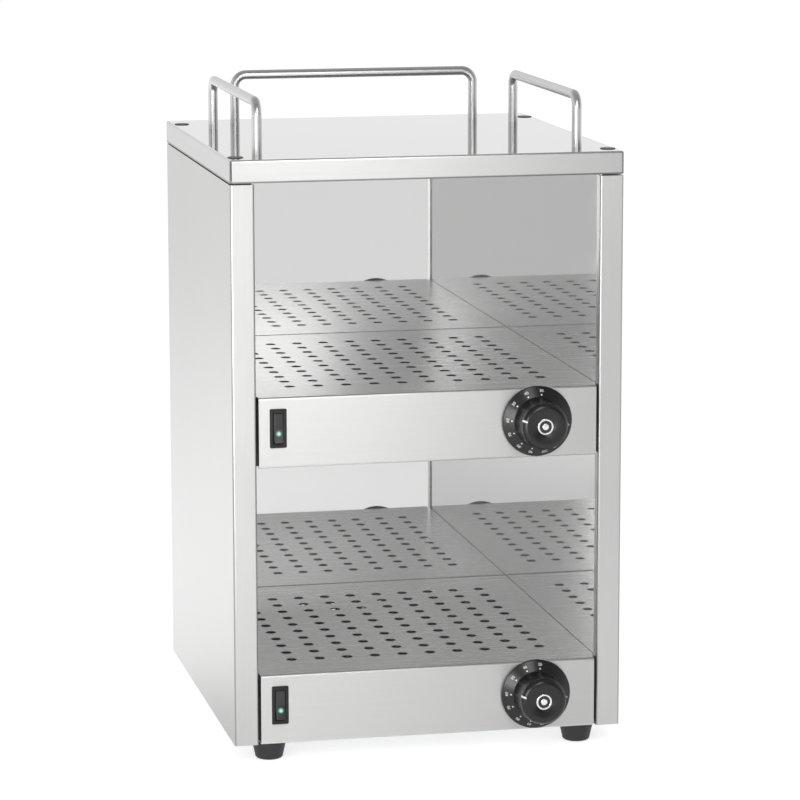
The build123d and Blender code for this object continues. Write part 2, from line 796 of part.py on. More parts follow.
    # Badge: a plain disc with a ring groove, set into the middle of the dish
    with BuildPart() as badge:
        with BuildSketch(knob_plane):
            with BuildLine():
                badge_front = -badge_seat - 0.3
                badge_back = -badge_seat + badge_thickness
                groove_floor = badge_front + badge_groove
                edge = badge_radius - shaft_clearance
                Polyline(
                    (0, badge_back),
                    (edge, badge_back),
                    (edge, badge_front + 0.2),
                    (edge - 0.2, badge_front),
                    (edge - 1.5, badge_front),
                    (edge - 1.7, groove_floor),
                    (edge - 3.6, groove_floor),
                    (edge - 3.8, badge_front),
                    (0, badge_front),
                    (0, badge_back),
                )
            make_face()
        revolve(axis=knob_axis)
    save(badge, f"{level}_knob_badge")

    # Heating element: a sheathed hairpin lying under the perforations
    element_z = deck_top - element_drop
    element_front = front + element_from_front
    element_rear = deck_rear - element_from_rear
    with BuildPart() as heating_element:
        with BuildLine() as hairpin:
            FilletPolyline(
                (-element_x, element_rear, element_z),
                (-element_x, element_front, element_z),
                (element_x, element_front, element_z),
                (element_x, element_rear, element_z),
                radius=element_bend,
            )
        with BuildSketch(Plane(origin=hairpin.line @ 0, z_dir=hairpin.line % 0)):
            Circle(element_diameter / 2)
        sweep(path=hairpin.line)
    save(heating_element, f"{level}_heating_element")

    # Brackets: two upright strips with feet, holding the element and the sensor bulb
    bulb_z = deck_top - bulb_drop
    bracket_top = bulb_z + bulb_diameter / 2 + bracket_border
    bracket_half = element_x + element_diameter / 2 + bracket_border
    with BuildPart() as element_brackets:
        for bracket_y in (front + bracket_from_front, deck_rear - bracket_from_rear):
            with BuildSketch(facing_front(bracket_y)):
                with Locations((0, (box_floor + bracket_top) / 2)):
                    Rectangle(2 * bracket_half, bracket_top - box_floor)
                with Locations((-element_x, element_z), (element_x, element_z)):
                    Circle(element_diameter / 2 + stud_clearance, mode=Mode.SUBTRACT)
                with Locations((bulb_x, bulb_z)):
                    Circle(bulb_diameter / 2 + stud_clearance, mode=Mode.SUBTRACT)
            extrude(amount=sheet)
            block(
                (-bracket_half, bracket_y - sheet / 2, box_floor),
                (bracket_half, bracket_y + bracket_foot, box_floor + sheet),
            )
    save(element_brackets, f"{level}_element_brackets")

    # Sensor: a liquid-filled bulb in the bracket, joined to the thermostat by its capillary
    bulb_front = front + bracket_from_front - bulb_ahead
    capillary_turn = bulb_front - capillary_lead
    with BuildPart() as sensor_bulb:
        rod(facing_rear(bulb_front), [(-bulb_x, bulb_z)], bulb_diameter / 2, bulb_length)
        capillary_x = knob_x - 4.0
        with BuildLine() as tail:
            FilletPolyline(
                (bulb_x, bulb_front + 0.5, bulb_z),
                (bulb_x, capillary_turn, bulb_z),
                (capillary_x, capillary_turn, bulb_z),
                (capillary_x, tab_y, bulb_z),
                radius=capillary_bend,
            )
        with BuildSketch(Plane(origin=tail.line @ 0, z_dir=tail.line % 0)):
            Circle(capillary / 2)
        sweep(path=tail.line)
    save(sensor_bulb, f"{level}_sensor_bulb")

    # Terminal block: on the floor of the box, with three wells for its clamping screws
    block_y = rear - block_from_rear
    with BuildPart() as terminal_block:
        block(
            (block_x - block_length / 2, block_y - block_depth / 2, box_floor),
            (block_x + block_length / 2, block_y + block_depth / 2, box_floor + block_height),
        )
        well_points = [(block_x + step, block_y - 4.0) for step in (-10.0, 0.0, 10.0)]
        rod(Plane.XY.offset(box_floor + block_height), well_points, 2.5, -6.0, Mode.SUBTRACT)
    save(terminal_block, f"{level}_terminal_block")

# Loom: the sleeve of wires from the lower terminal block up the cavity to the upper one
with BuildPart() as wiring_loom:
    loom_start_y = rear - block_from_rear + block_depth / 2
    loom_low_z = floor_of["lower"] + block_height / 2
    loom_end_y = rear - block_from_rear + 5.0
    with BuildLine() as loom_route:
        FilletPolyline(
            (loom_x, loom_start_y, loom_low_z),
            (loom_x, loom_rise_y, loom_low_z),
            (loom_x, loom_rise_y, loom_entry),
            (loom_x, loom_end_y, loom_entry),
            (loom_x, loom_end_y, floor_of["upper"] + block_height),
            radius=loom_bend - fit_gap,
        )
    with BuildSketch(Plane(origin=loom_route.line @ 0, z_dir=loom_route.line % 0)):
        Circle(loom_diameter / 2)
    sweep(path=loom_route.line)
save(wiring_loom, "wiring_loom")

# Feet: tapered rubber with a rounded tread, each moulded round its threaded stud
foot_corners = ("front_left", "front_right", "rear_left", "rear_right")
for corner, (x, y) in zip(foot_corners, foot_points):
    with BuildPart() as foot:
        with BuildSketch(Plane(origin=(x, y, 0), x_dir=(1, 0, 0), z_dir=(0, -1, 0))):
            with BuildLine():
                tread = foot_bottom_diameter / 2
                shoulder = foot_top_diameter / 2
                Line((0, 0), (tread - foot_round, 0))
                ThreePointArc(
                    (tread - foot_round, 0),
                    (tread - foot_round * round_mid, foot_round * round_mid),
                    (tread, foot_round),
                )
                Polyline(
                    (tread, foot_round),
                    (shoulder, foot_height - 3.0),
                    (shoulder, foot_height),
                    (foot_stud / 2, foot_height),
                    (foot_stud / 2, foot_height + 10.0),
                    (0, foot_height + 10.0),
                    (0, 0),
                )
            make_face()
        revolve(axis=Axis((x, y, 0), (0, 0, 1)))
    save(foot, f"{corner}_foot")

with BuildPart() as foot_nuts:
    hex_nuts(Plane.XY.offset(body_bottom + sheet), foot_points, foot_stud, nut_across_flats, nut_height)
save(foot_nuts, "foot_nuts")

# Cable inlet: a compression gland through the rear panel, with its nut inside
gland_z = body_bottom + gland_rise
gland_plane = Plane(origin=(gland_x, rear, gland_z))
with BuildPart() as cable_gland:
    with BuildSketch(facing_rear(rear)):
        with Locations((-gland_x, gland_z)):
            RegularPolygon(gland_flats / 2, 6, major_radius=False)
    extrude(amount=gland_hex)
    with BuildSketch(gland_plane):
        with BuildLine():
            Polyline(
                (gland_bore / 2, -gland_inner_length),
                (gland_thread / 2, -gland_inner_length),
                (gland_thread / 2, 0),
                (gland_flats / 2 - 0.6, 0),
                (gland_flats / 2 - 0.6, gland_hex + 3.0),
            )
            ThreePointArc(
                (gland_flats / 2 - 0.6, gland_hex + 3.0),
                (gland_flats / 2 - 1.6, gland_hex + 6.0),
                (gland_nose / 2, gland_reach),
            )
            Polyline(
                (gland_nose / 2, gland_reach),
                (gland_bore / 2, gland_reach),
                (gland_bore / 2, -gland_inner_length),
            )
        make_face()
    revolve(axis=Axis((gland_x, rear, gland_z), (0, 1, 0)))
    rod(
        facing_rear(rear - gland_inner_length),
        [(-gland_x, gland_z)],
        gland_bore / 2,
        gland_inner_length + gland_reach,
        Mode.SUBTRACT,
    )
save(cable_gland, "cable_gland")

with BuildPart() as gland_nut:
    hex_nuts(
        facing_rear(rear - sheet - 4.0), [(-gland_x, gland_z)], gland_thread, gland_flats, 4.0
    )
save(gland_nut, "gland_nut")
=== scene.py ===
"""Cup warmer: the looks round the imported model.

The scene is in metres, +X right, +Y back, +Z up. The shapes made here are worked out in
millimetres, and become metres when their mesh is built."""

import json

import bmesh
import bpy
import numpy as np
from mathutils import Matrix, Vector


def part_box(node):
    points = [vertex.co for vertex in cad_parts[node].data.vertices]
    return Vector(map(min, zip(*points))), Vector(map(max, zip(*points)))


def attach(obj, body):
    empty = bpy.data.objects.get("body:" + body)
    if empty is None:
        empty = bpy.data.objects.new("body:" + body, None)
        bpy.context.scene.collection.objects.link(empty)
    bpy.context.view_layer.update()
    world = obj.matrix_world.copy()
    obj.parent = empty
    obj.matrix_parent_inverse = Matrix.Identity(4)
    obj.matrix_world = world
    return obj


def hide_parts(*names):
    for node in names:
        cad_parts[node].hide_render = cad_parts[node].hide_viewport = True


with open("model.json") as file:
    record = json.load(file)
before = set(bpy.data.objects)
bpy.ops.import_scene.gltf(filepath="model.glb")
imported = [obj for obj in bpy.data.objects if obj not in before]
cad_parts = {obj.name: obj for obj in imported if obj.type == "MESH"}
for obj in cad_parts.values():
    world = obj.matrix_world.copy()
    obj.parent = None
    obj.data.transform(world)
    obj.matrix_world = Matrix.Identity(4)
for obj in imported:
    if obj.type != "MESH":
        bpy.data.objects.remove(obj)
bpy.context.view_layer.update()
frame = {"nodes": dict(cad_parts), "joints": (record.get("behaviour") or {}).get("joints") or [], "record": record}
nodes = frame["nodes"]

# ---- Camera -------------------------------------------------------------------------------
# It stands to the front left, a little above the cover, and looks slightly down. The frame
# is square, so the sensor width counts for both sides, and nothing is shifted.
viewpoint = (-0.624842, -2.920827, 0.793671)
view_right = (0.97712755, -0.21264966, -0.00136637)
view_up = (0.03832182, 0.16976179, 0.98473975)
view_back = (-0.20917261, -0.9622687, 0.17402804)
camera = bpy.data.objects.new("camera", bpy.data.cameras.new("camera"))
camera.data.sensor_width = 36.0
camera.data.lens = 161.808
camera.data.clip_start, camera.data.clip_end = 0.05, 100.0
axes = Matrix((view_right, view_up, view_back)).transposed()
camera.matrix_world = Matrix.Translation(viewpoint) @ axes.to_4x4()
bpy.context.scene.collection.objects.link(camera)
bpy.context.scene.camera = camera


# ---- Housing: side panels and rear panel --------------------------------------------------
# Folded stainless sheet with a fine brushed grain that runs up the panels. The rear panel is
# a flat sheet screwed to their rear flanges, with two rows of vent slots.
class Wire:
    """An output socket in a material. Arithmetic on it adds Math nodes to its tree."""

    def __init__(self, tree, socket=None):
        self.tree, self.socket = tree, socket

    def make(self, kind, settings=None, sockets=None, output=0):
        """Adds a node: its settings first, then the values or links of its sockets."""
        node = self.tree.nodes.new("ShaderNode" + kind)
        for name, value in (settings or {}).items():
            setattr(node, name, value)
        for name, value in (sockets or {}).items():
            if isinstance(value, Wire):
                self.tree.links.new(value.socket, node.inputs[name])
            else:
                node.inputs[name].default_value = value
        return Wire(self.tree, node.outputs[output])

    def math(self, operation, first, second=0.0):
        return self.make("Math", {"operation": operation}, {0: first, 1: second})

    def __add__(self, other):
        return self.math("ADD", self, other)

    def __sub__(self, other):
        return self.math("SUBTRACT", self, other)

    def __rsub__(self, other):
        return self.math("SUBTRACT", other, self)

    def __mul__(self, other):
        return self.math("MULTIPLY", self, other)

    __radd__, __rmul__ = __add__, __mul__

    def size(self):
        return self.math("ABSOLUTE", self)

    def step(self, low, high):
        """0 below low, 1 above high, smooth between; low may be the larger."""
        limits = {"Value": self, "From Min": low, "From Max": high}
        return self.make("MapRange", {"interpolation_type": "SMOOTHSTEP"}, limits)

    def parts(self, kind):
        """The three parts of the place or the direction that Texture Coordinate gives."""
        vector = self.make("TexCoord", output=kind)
        return [self.make("SeparateXYZ", {}, {0: vector}, k) for k in range(3)]

    def noise(self, scale, detail=2.0, roughness=0.5, stretch=(1.0, 1.0, 1.0)):
        """Noise on the piece's own coordinates, about 0.5, stretched by a factor per axis."""
        place = self.make("TexCoord", output="Object")
        squeeze = tuple(scale / s for s in stretch)
        place = self.make("Mapping", {}, {"Vector": place, "Scale": squeeze})
        settings = {"Vector": place, "Scale": 1.0, "Detail": detail, "Roughness": roughness}
        return self.make("TexNoise", {}, settings)

    def blend(self, factor, first, second):
        """A colour mixed from two by a factor."""
        return self.make("Mix", {"data_type": "RGBA"}, {0: factor, 6: first, 7: second}, 2)

    def metal(self, green=1.0, blue=1.0):
        """This level as a colour, with green and blue as shares of the red."""
        return self.make("CombineColor", {}, {0: self, 1: self * green, 2: self * blue})

    def bump(self, height, distance, strength=1.0):
        settings = {"Height": height, "Distance": distance, "Strength": strength}
        return self.make("Bump", {}, settings)


def grey(level):
    return (level, level, level, 1.0)


def finish(name, **constants):
    """A new material with a Principled shader; the constants go on its own sockets."""
    material = bpy.data.materials.new(name)
    material.use_nodes = True
    shader = material.node_tree.nodes["Principled BSDF"]
    for socket, value in constants.items():
        shader.inputs[socket.replace("_", " ")].default_value = value
    return material, shader, Wire(material.node_tree)


def join(wire, shader, **links):
    """Links wires to the shader's sockets."""
    for socket, source in links.items():
        wire.tree.links.new(source.socket, shader.inputs[socket.replace("_", " ")])


def dress(material, *names):
    """Puts a material on every slot of the named CAD nodes."""
    for name in names:
        for slot in nodes[name].material_slots:
            slot.material = material


edge_tint = grey(0.85)  # polished metal seen at a flat angle


def brushed_steel(name, grain, tone, rough, spread, painted_shade, lid=None, fill=0.0):
    """Brushed sheet: streaks far longer than they are wide, along the grain axis. The faces
    spread light across the grain. With a lid, faces that look up have that roughness instead,
    the same every way. The shade function, of place and facing, gives painted shade: where it
    is 1 the colour is dark. A little fill stands for the light that goes on between the walls
    of a bay."""
    material, shader, wire = finish(
        name,
        Metallic=1.0,
        Roughness=rough,
        Specular_Tint=edge_tint,
        Anisotropic=spread,
        Anisotropic_Rotation=0.0 if grain == "z" else 0.25,
        Emission_Strength=0.5 * fill,
    )
    fine = wire.noise(4200.0, 2.0, 0.6, tuple(110.0 if a == grain else 1.0 for a in "xyz"))
    broad = wire.noise(420.0, 2.0, 0.5, tuple(40.0 if a == grain else 1.0 for a in "xyz"))
    cloud = wire.noise(9.0, 3.0, 0.5)
    place, facing = wire.parts("Object"), wire.parts("Normal")
    shade = tone - 0.055 + 0.05 * fine + 0.03 * broad + 0.03 * cloud
    # Painted shade: the colour is darkened by the shade function's share
    colour = (shade * (1.0 - 0.86 * painted_shade(place, facing))).metal(1.0, 0.994)
    uneven = 0.08 * fine + 0.05 * broad + 0.03 * cloud - 0.08
    join(
        wire,
        shader,
        Base_Color=colour,
        Emission_Color=colour,
        Roughness=uneven + rough,
        Normal=wire.bump(fine * 0.8 + broad * 0.2, 0.00003, 0.5),
    )
    if lid is not None:
        settings = {
            "Metallic": 1.0,
            "Specular Tint": edge_tint,
            "Base Color": colour,
            "Roughness": uneven * (0.4 * lid / rough) + lid,
            "Emission Color": colour,
            "Emission Strength": fill,
        }
        level = wire.make("BsdfPrincipled", {}, settings)
        upright = Wire(wire.tree, shader.outputs[0])
        both = wire.make("MixShader", {}, {0: facing[2].step(0.5, 0.9), 1: upright, 2: level})
        wire.tree.links.new(both.socket, wire.tree.nodes["Material Output"].inputs[0])
    return material


def painted_fold_shade(place, facing):
    """Painted shade that dims the upright folds: both parts of the facing count."""
    return (facing[0].size() * facing[1].size()).step(0.12, 0.4) * 0.42


# The side and rear panels carry painted shade on their upright folds.
panel_steel = brushed_steel("panel_steel", "z", 0.54, 0.32, 0.6, painted_fold_shade)
dress(panel_steel, "left_side_panel", "right_side_panel", "rear_panel")

# ---- Base plate ---------------------------------------------------------------------------
# Flat galvanised sheet with a spangle. It closes the lower heater box, carries the feet and
# is screwed up into the side panels' flanges. The elements' brackets are galvanised too.
levels = ("lower", "upper")


def at_both(*names):
    """The names of like nodes at both levels, such as lower_deck and upper_deck."""
    return [level + "_" + name for name in names for level in levels]


galvanised, shader, wire = finish("galvanised_sheet", Metallic=1.0, Roughness=0.4)
place = wire.make("TexCoord", output="Object")
spangle = wire.make("TexVoronoi", {}, {"Vector": place, "Scale": 140.0}, "Color")
crystal = wire.make("SeparateColor", {}, {0: spangle})
join(
    wire,
    shader,
    Base_Color=(0.42 + 0.16 * crystal + 0.05 * wire.noise(900.0)).metal(1.01, 1.04),
    Roughness=0.34 + 0.16 * crystal,
    Normal=wire.bump(wire.noise(600.0), 0.00002, 0.4),
)
dress(galvanised, "base_plate", *at_both("element_brackets"))


# ---- Linings and ceiling ------------------------------------------------------------------
# Thin stainless sheet polished to a mirror, slightly wavy. Two side linings and a back lining
# run past both bays, and a shallow pan closes the upper bay.
def polished_steel(name, tone, rough, wave):
    """Polished sheet: even reflections with soft smears and a long, shallow wave. The little
    emission stands for the light that goes on between mirrors."""
    material, shader, wire = finish(
        name,
        Metallic=1.0,
        Roughness=rough,
        Specular_Tint=edge_tint,
        Emission_Color=grey(1.0),
        Emission_Strength=0.055,
    )
    smear = wire.noise(22.0, 4.0, 0.6)
    polish = wire.noise(2400.0, 2.0, 0.5, (1.0, 1.0, 12.0))
    join(
        wire,
        shader,
        Base_Color=(tone - 0.01 + 0.02 * smear).metal(1.002, 0.998),
        Roughness=rough + 0.015 * smear.step(0.35, 0.75) + 0.01 * polish,
        Normal=wire.bump(wire.noise(7.0, 1.0, 0.4), wave, 0.12),
    )
    return material


mirror_steel = polished_steel("mirror_steel", 0.595, 0.01, 0.0004)
dress(mirror_steel, "left_liner", "right_liner", "back_liner", "ceiling_panel")

# ---- Cover --------------------------------------------------------------------------------
# Bright finely ground sheet, folded down on four sides. It stands on spacers, a narrow gap
# above the housing, and lifts off with its rails.
cover_low, cover_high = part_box("top_cover")
# Where the cover's painted shade lies: at the slits, counted from the cover's sides, and along the lips, counted
# above their lower edges.
slit_near, slit_far = 0.0012, 0.002  # from the cover's sides
lip_edge, lip_face = 0.0009, 0.0017  # above the lips' lower edges


def painted_lip_shade(place, facing):
    """Painted shade at the slits at the front corners of the cover's lips, and along the lips' lower edges."""
    slit_shade = place[0].size().step(cover_high.x - slit_far, cover_high.x - slit_near)
    slit_shade *= (place[1] * -1.0).step(-cover_low.y - slit_far, -cover_low.y - slit_near)
    edge = place[2].step(cover_low.z + lip_face, cover_low.z + lip_edge) * 0.75
    return facing[2].size().step(0.7, 0.3) * slit_shade.math("MAXIMUM", slit_shade, edge)


# The cover carries painted shade at its slits and along its lips' lower edges.
cover_steel = brushed_steel("cover_steel", "x", 0.58, 0.35, 0.6, painted_lip_shade, lid=0.035)
dress(cover_steel, "top_cover")

# ---- Shelves with their fascias, and the tray ---------------------------------------------
# Each shelf and its fascia are one bent sheet, brushed from side to side, with punched holes.
# The tray under the upper shelf is the lower bay's ceiling, of the same satin sheet.
satin = {"grain": "x", "tone": 0.65, "rough": 0.44, "spread": 0.88, "lid": 0.27, "fill": 0.09}

# Sizes of the perforation, across and along: the centre of one hole, half the holes' pitch,
# the reach of the painted shade round a hole, and the reach of all of them from the shelf's middle
hole, half_pitch = (0.0116, -0.108), (0.0116, 0.01195)
hole_shade_reach, perforation = (0.0043, 0.0052), (0.112, 0.116)


def painted_hole_shade(place, facing):
    """Painted shade on the walls of the shelf's holes, and fainter on the shelf round each hole:
    an ellipse round the nearest centre, whose distance is folded back at each half pitch."""
    away, within = [], 1.0
    for k in range(2):
        offset = place[k] - hole[k]
        away.append(offset.math("PINGPONG", offset, half_pitch[k]) * (1 / hole_shade_reach[k]))
        within = within * place[k].size().step(perforation[k], perforation[k] - 0.001)
    hole_shade = (away[0] * away[0] + away[1] * away[1]).step(1.35, 0.95)
    return hole_shade * within * (0.55 + 0.45 * facing[2].size().step(0.7, 0.3))


def darkened_tray_top(place, facing):
    """Darker on the side of the tray that faces up, towards the heating element."""
    return facing[2].step(0.3, 0.8)


# The shelves' colour carries painted shade in and round their holes.
dress(brushed_steel("deck_steel", painted_shade=painted_hole_shade, **satin), *at_both("deck"))
# The tray is darker on its upward side.
dress(brushed_steel("tray_steel", painted_shade=darkened_tray_top, **satin), "upper_heater_tray")

# ---- Gallery rails ------------------------------------------------------------------------
# Bent stainless rod, ground and satin polished round its length. Shouldered ends pass through
# the cover into nuts.
rail_steel, shader, wire = finish("rail_steel", Metallic=1.0, Roughness=0.2)
ground = wire.noise(2600.0, 2.0, 0.6)
soft = wire.noise(60.0, 2.0, 0.5)
join(
    wire,
    shader,
    Base_Color=(0.52 + 0.05 * soft).metal(1.0, 0.995),
    Roughness=0.26 + 0.08 * ground + 0.06 * soft,
    Normal=wire.bump(ground, 0.00002, 0.3),
)
dress(rail_steel, "left_rail", "right_rail", "back_rail")


# ---- Cover plugs --------------------------------------------------------------------------
# Flat moulded plastic plugs, pressed in over the four countersunk screws that hold the cover
# down on its spacers.
def moulded(name, colour, roughness, grain=0.25, **constants):
    """Moulded plastic or rubber: a fine eroded texture and slightly uneven colour."""
    material, shader, wire = finish(name, **constants)
    skin = wire.noise(1900.0, 3.0, 0.6)
    patch = wire.noise(45.0, 3.0, 0.5)
    light = tuple(min(1.0, c * 1.18 + 0.004) for c in colour)
    join(
        wire,
        shader,
        Base_Color=wire.blend(patch, (*colour, 1.0), (*light, 1.0)),
        Roughness=(roughness - 0.07) + 0.1 * skin + 0.05 * patch,
        Normal=wire.bump(skin, 0.00004, grain),
    )
    return material


dress(moulded("plug_plastic", (0.05, 0.05, 0.052), 0.45), "screw_caps")

# ---- Screws, nuts, spacers and shafts -----------------------------------------------------
# Zinc-plated steel. The rear and base screws show: pan heads with a cross recess. The others
# sit inside.
zinc_plate, shader, wire = finish("zinc_plate", Metallic=1.0, Roughness=0.3)
dull = wire.noise(500.0, 3.0, 0.6)
join(
    wire,
    shader,
    Base_Color=wire.blend(dull, (0.5, 0.51, 0.53, 1.0), (0.64, 0.64, 0.63, 1.0)),
    Roughness=0.22 + 0.2 * dull,
    Normal=wire.bump(dull, 0.00003, 0.3),
)
dress(zinc_plate, "cover_screws", "cover_spacers", "deck_screws", "rail_nuts", "foot_nuts")
dress(zinc_plate, *at_both("thermostat_screws", "thermostat_shaft"))

# Three directions for a turned shape, in a row each: across, up, and out along its axis
to_front = np.array([(1, 0, 0), (0, 0, 1), (0, -1, 0)])
to_rear = np.array([(-1, 0, 0), (0, 0, 1), (0, 1, 0)])
downward = np.array([(1, 0, 0), (0, 1, 0), (0, 0, -1)])
turn = 2 * np.pi


def turned(radius, height, angle, centre, seat):
    """Points round an axis, in the seat's directions: centre + radius * (sin angle * across
    + cos angle * up) + height * out."""
    radius, height, angle = np.broadcast_arrays(radius, height, angle)
    local = np.stack((radius * np.sin(angle), radius * np.cos(angle), height), -1)
    return np.asarray(centre) + local @ seat


def shell(points):
    """A grid of points as a list of points and four-sided faces. Point (i, j) shares a face
    with (i + 1, j) and (i, j + 1), and the last column with the first."""
    rows, columns = points.shape[:2]
    i, j = np.meshgrid(np.arange(rows - 1), np.arange(columns), indexing="ij")
    k = (j + 1) % columns
    corners = (i * columns + j, i * columns + k, (i + 1) * columns + k, (i + 1) * columns + j)
    return points.reshape(-1, 3), np.stack(corners, -1).reshape(-1, 4).tolist()


def build(name, parts, material, body, crease=38.0):
    """One piece from pairs of points in mm and faces: welded, its faces turned outwards, and
    smooth apart from edges sharper than the crease."""
    points, faces, start = [], [], 0
    for corners, polygons in parts:
        points.append(corners)
        faces += [tuple(start + c for c in polygon) for polygon in polygons]
        start += len(corners)
    mesh = bpy.data.meshes.new(name)
    mesh.from_pydata((np.concatenate(points) * 0.001).tolist(), [], faces)
    welded = bmesh.new()
    welded.from_mesh(mesh)
    bmesh.ops.remove_doubles(welded, verts=welded.verts, dist=2e-7)
    bmesh.ops.dissolve_degenerate(welded, edges=welded.edges, dist=1e-8)
    bmesh.ops.recalc_face_normals(welded, faces=welded.faces)
    welded.to_mesh(mesh)
    welded.free()
    mesh.shade_smooth()
    mesh.set_sharp_from_angle(angle=np.radians(crease))
    mesh.materials.append(material)
    piece = bpy.data.objects.new(name, mesh)
    bpy.context.scene.collection.objects.link(piece)
    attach(piece, body)
    return piece


def smooth(value, low, high):
    """0 where value is below low, 1 above high, with a smooth cubic between."""
    t = np.clip((value - low) / (high - low), 0.0, 1.0)
    return t * t * (3 - 2 * t)


head_radius, head_height = 3.5, 2.2
shank_radius, shank_length = 1.75, 6.0
recess_depth, bar_width, bar_reach = 0.9, 0.36, 1.55  # bars measured from their middle
first_twist, next_twist = 0.35, 0.55  # each screw is driven home at an angle of its own


def cross_screw(centre, seat, twist):
    """Pan head: height = head_height * sqrt(1 - (r / head_radius)^4), less the recess where
    either bar of the cross lies; then a shank."""
    angle = np.arange(96) * turn / 96
    inner, outer = np.linspace(0.0, 2.0, 30), np.linspace(2.12, 3.3, 8)
    ring = np.concatenate((inner, outer, [3.42, 3.48, head_radius]))[:, None]
    along = np.abs(ring * np.sin(angle + twist))
    beside = np.abs(ring * np.cos(angle + twist))
    bars = np.minimum(
        np.maximum(along - bar_width, beside - bar_reach),
        np.maximum(beside - bar_width, along - bar_reach),
    )
    crown = head_height * np.sqrt(1 - (ring / head_radius) ** 4)
    height = crown - recess_depth * (1 - smooth(bars, -0.12, 0.06))
    head = turned(ring, np.where(ring < head_radius, height, 0.0), angle, centre, seat)
    radius = np.array([[head_radius], [shank_radius], [shank_radius], [0.0]])
    depth = np.array([[0.0], [0.0], [-shank_length], [-shank_length]])
    return shell(np.concatenate((head, turned(radius, depth, angle, centre, seat))))


# The screws' places, from the housing's sides and ends
rear_screw_side, rear_screw_inset = 8.4, 45.0
base_screw_side, base_screw_inset = 8.5, 80.0
_, front, _ = cover_low * 1000
half_width, rear, cover_top = cover_high * 1000
body_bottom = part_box("base_plate")[0].z * 1000
rear_screw_x = half_width - rear_screw_side
base_screw_x = half_width - base_screw_side
rear_screw_zs = (
    body_bottom + rear_screw_inset,
    (body_bottom + cover_top) / 2,
    cover_top - rear_screw_inset,
)
base_screw_ys = (front + base_screw_inset, rear - base_screw_inset)
rear_points = [(s * rear_screw_x, rear, z) for s in (-1, 1) for z in rear_screw_zs]
base_points = [(s * base_screw_x, y, body_bottom) for s in (-1, 1) for y in base_screw_ys]
for name, points, seat in (
    ("rear_screws", rear_points, to_rear),
    ("base_screws", base_points, downward),
):
    twists = first_twist + next_twist * np.arange(len(points))
    screws = [cross_screw(point, seat, twist) for point, twist in zip(points, twists)]
    piece = build("cross_" + name, screws, zinc_plate, "cabinet")
    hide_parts(name)


# ---- Switches -----------------------------------------------------------------------------
# Snap-in rocker switches: a black housing with a bezel and three blades behind, a satin
# rocker on two pins and a small lit lens.
def moulding(rings, centre, seat=to_front, steps=6):
    """Rounded rectangles (half width, half height, corner radius, height), one per row. A
    point of a corner is side * (half size - radius) + radius * (cos t, sin t)."""
    sides = np.repeat(np.arange(4), steps)
    angle = (sides + np.tile(np.linspace(0, 1, steps), 4)) * turn / 4
    across = np.where(np.isin(sides, (0, 3)), 1.0, -1.0)[None, :, None]
    up = np.where(sides < 2, 1.0, -1.0)[None, :, None]
    ring_width, ring_height, corner, height = np.array(rings, float).T[:, :, None, None]
    flat_x = across * (ring_width - corner) + corner * np.cos(angle)[None, :, None]
    flat_z = up * (ring_height - corner) + corner * np.sin(angle)[None, :, None]
    local = np.concatenate((flat_x, flat_z, height + 0 * flat_x), -1)
    return shell(np.asarray(centre) + local @ seat)


def lathe(profile, count, centre, seat):
    """A profile of (radius, height) turned round its axis in a count of steps."""
    radius, height = np.array(profile, float).T[:, :, None]
    return shell(turned(radius, height, np.arange(count) * turn / count, centre, seat))


to_right = np.array([(0, 1, 0), (0, 0, 1), (1, 0, 0)])
housing_black, rocker_black = (0.006, 0.006, 0.006), (0.02, 0.02, 0.021)
housing_plastic = moulded("housing_plastic", housing_black, 0.4, Specular_IOR_Level=0.35)
rocker_plastic = moulded("rocker_plastic", rocker_black, 0.3)
lit_lens, shader, wire = finish("lit_lens", Roughness=0.18, Emission_Strength=0.55)
rim = wire.make("Attribute", {"attribute_name": "rim"}, {}, 2)
halo = rim.step(0.1, 0.9) * 0.96 + 0.04 * wire.noise(900.0, 1.0)
join(
    wire,
    shader,
    Base_Color=wire.blend(halo, (0.22, 0.4, 0.32, 1.0), (0.03, 0.12, 0.085, 1.0)),
    Emission_Color=wire.blend(halo, (0.55, 0.9, 0.74, 1.0), (0.03, 0.17, 0.11, 1.0)),
)

# The housing's section, from the pocket's floor out over the bezel and back round the body
housing_rings = (
    (0.0, 0.0, 0.0, -10.0),
    (4.1, 12.3, 0.3, -10.0),
    (4.1, 12.3, 0.3, 1.35),
    (4.2, 12.4, 0.35, 1.68),
    (4.45, 12.65, 0.45, 1.8),
    (5.85, 14.8, 0.8, 1.8),
    (6.1, 15.05, 0.95, 1.74),
    (6.28, 15.23, 1.05, 1.56),
    (6.42, 15.37, 1.1, 1.25),
    (6.9, 15.85, 1.2, 0.0),
    (5.9, 14.3, 0.5, 0.0),
    (5.9, 14.3, 0.5, -20.0),
    (0.0, 0.0, 0.0, -20.0),
)
blade_rings = (
    (0.0, 0.0, 0.0, -27.0),
    (2.6, 0.25, 0.1, -27.0),
    (3.15, 0.4, 0.1, -26.2),
    (3.15, 0.4, 0.1, -20.0),
    (0.0, 0.0, 0.0, -20.0),
)
blade_rises = (-8.0, 0.0, 8.0)

# The rocker seen from the side, as depth and height from its pins. Its hollow face lies
# between two arcs about the pins, and its back has a low crown.
swing_radius, face_reach = 12.0, 11.619
face_angle, back_angle = 1.318, 0.349  # where the arcs meet the face and the back
valley_reach, valley_depth, valley_round = 1.6, 1.4, 0.004
back_crown = [(5.35, -1.9), (5.55, 0.0), (5.35, 1.9)]


def swing(start, end):
    """An arc about the pins: swing_radius * (cos t, sin t)."""
    t = np.linspace(start, end, 14)
    return swing_radius * np.stack((np.cos(t), np.sin(t)), -1)


